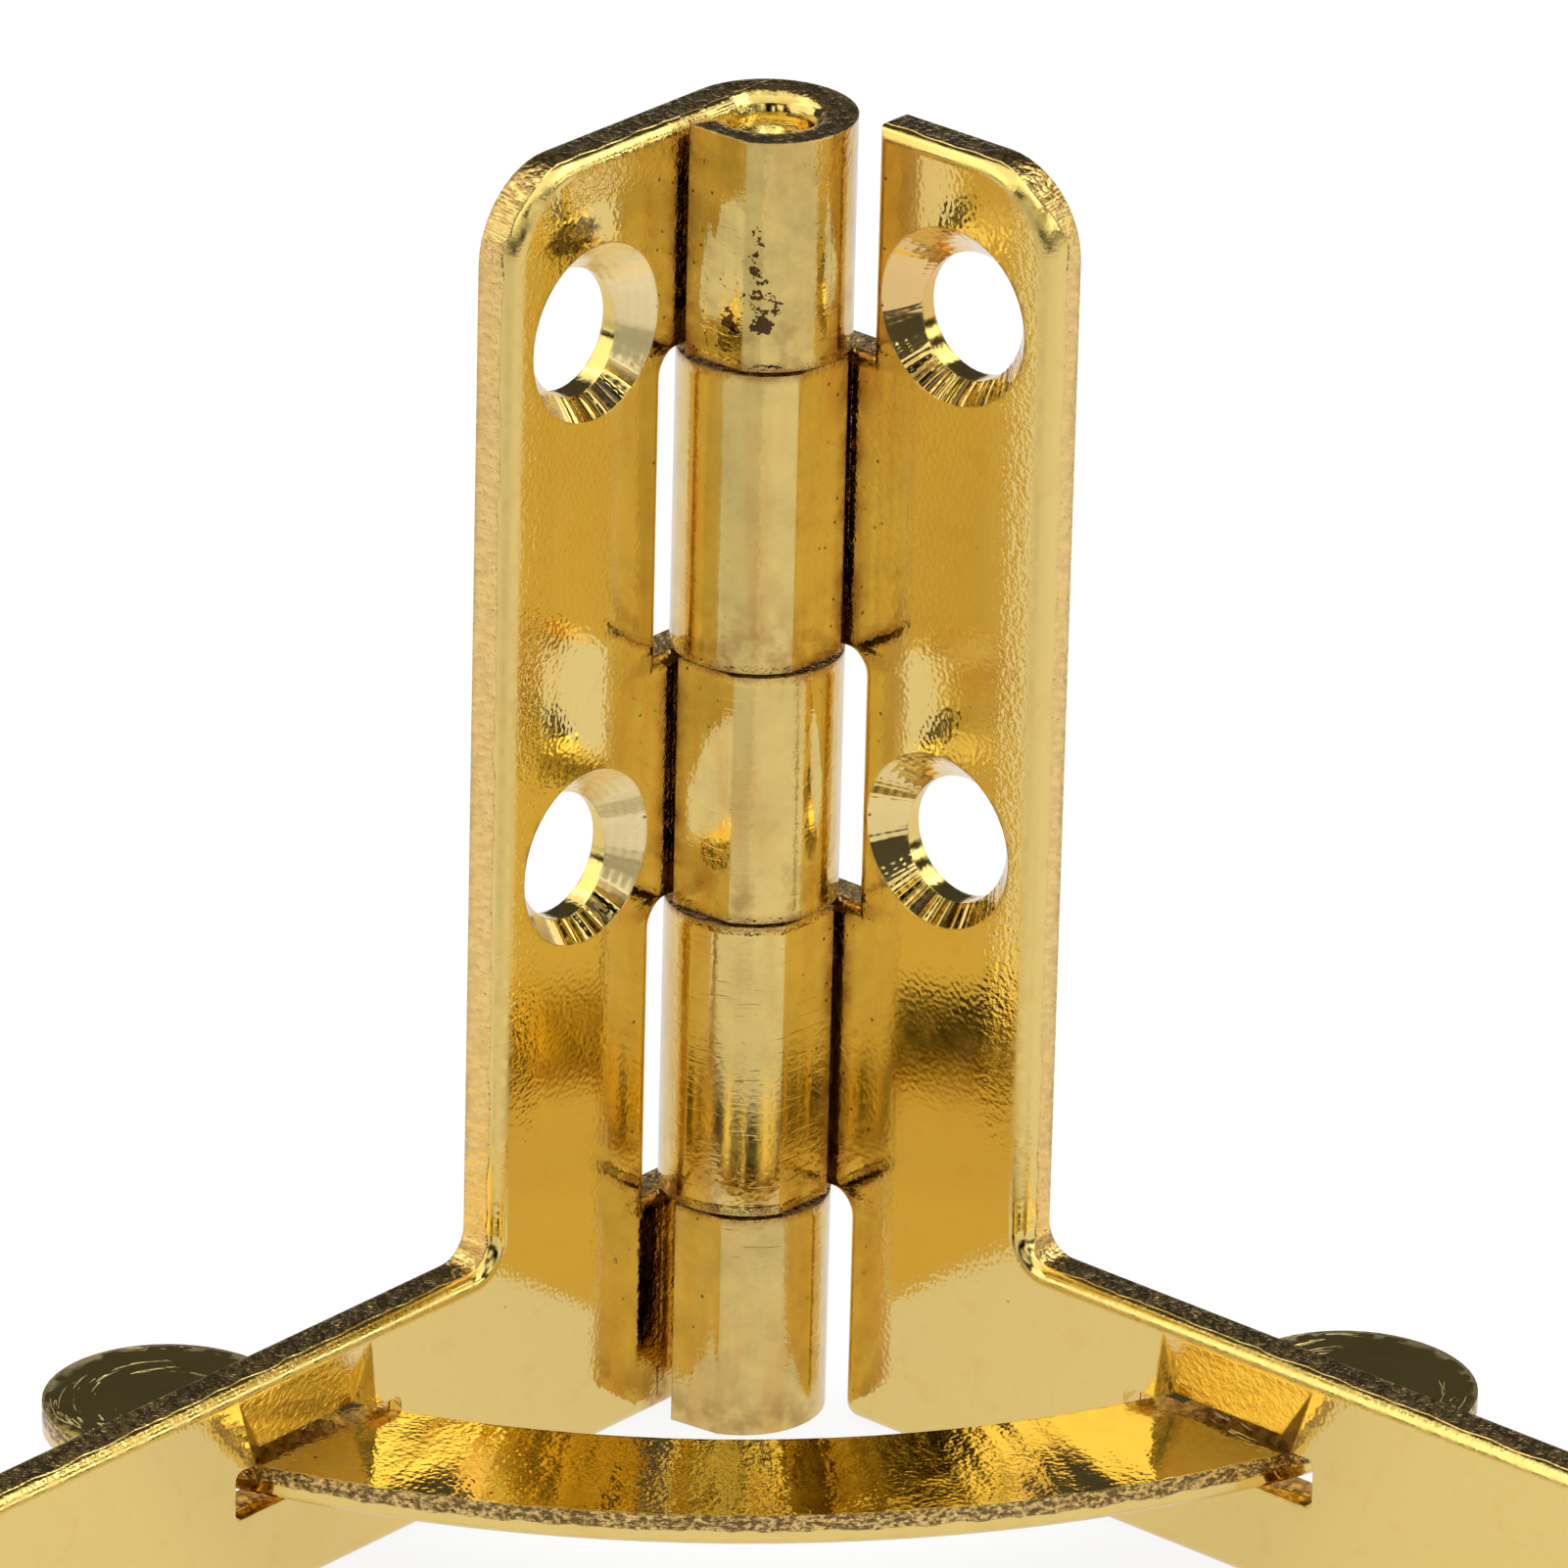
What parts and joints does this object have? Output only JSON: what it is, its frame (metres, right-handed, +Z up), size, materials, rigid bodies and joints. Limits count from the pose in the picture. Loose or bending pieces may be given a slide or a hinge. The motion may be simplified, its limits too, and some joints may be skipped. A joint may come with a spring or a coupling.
{
  "type": "box hinge with stay",
  "caption": "Small pressed brass box hinge: L-shaped leaves on a rolled barrel, held open at a right angle by a curved flat stay.",
  "frame": {"origin": "on the pin's axis, level with the foot of the barrel and the lower edges of both arms", "axes": "+Z up along the pin, +Y out of the left leaf's back, +X out of the right leaf's back, with the hinge fully open"},
  "size_m": [0.0403, 0.0403, 0.03],
  "materials": {
    "leaves": "polished, with a rounded punched edge on the inner face",
    "pin": "polished",
    "stay": "satin, tumbled"
  },
  "bodies": {
    "left": {"left_leaf": "leaves", "hinge_pin": "pin"},
    "right": {"right_leaf": "leaves"},
    "stay": {"stay": "stay"}
  },
  "joints": [
    {"name": "leaf_hinge", "type": "hinge", "parent": "left", "child": "right", "pos_m": [0, 0, 0], "axis": [0, 0, -1], "range_deg": [0, 90]},
    {"name": "stay_swing", "type": "hinge", "parent": "left", "child": "stay", "pos_m": [-0.00213, 0.00272, 0], "axis": [0, 0, -1], "range_deg": [0, 45]}
  ],
  "couplings": [
    {"joint": "stay_swing", "follows": "leaf_hinge", "ratio": 0.5}
  ]
}
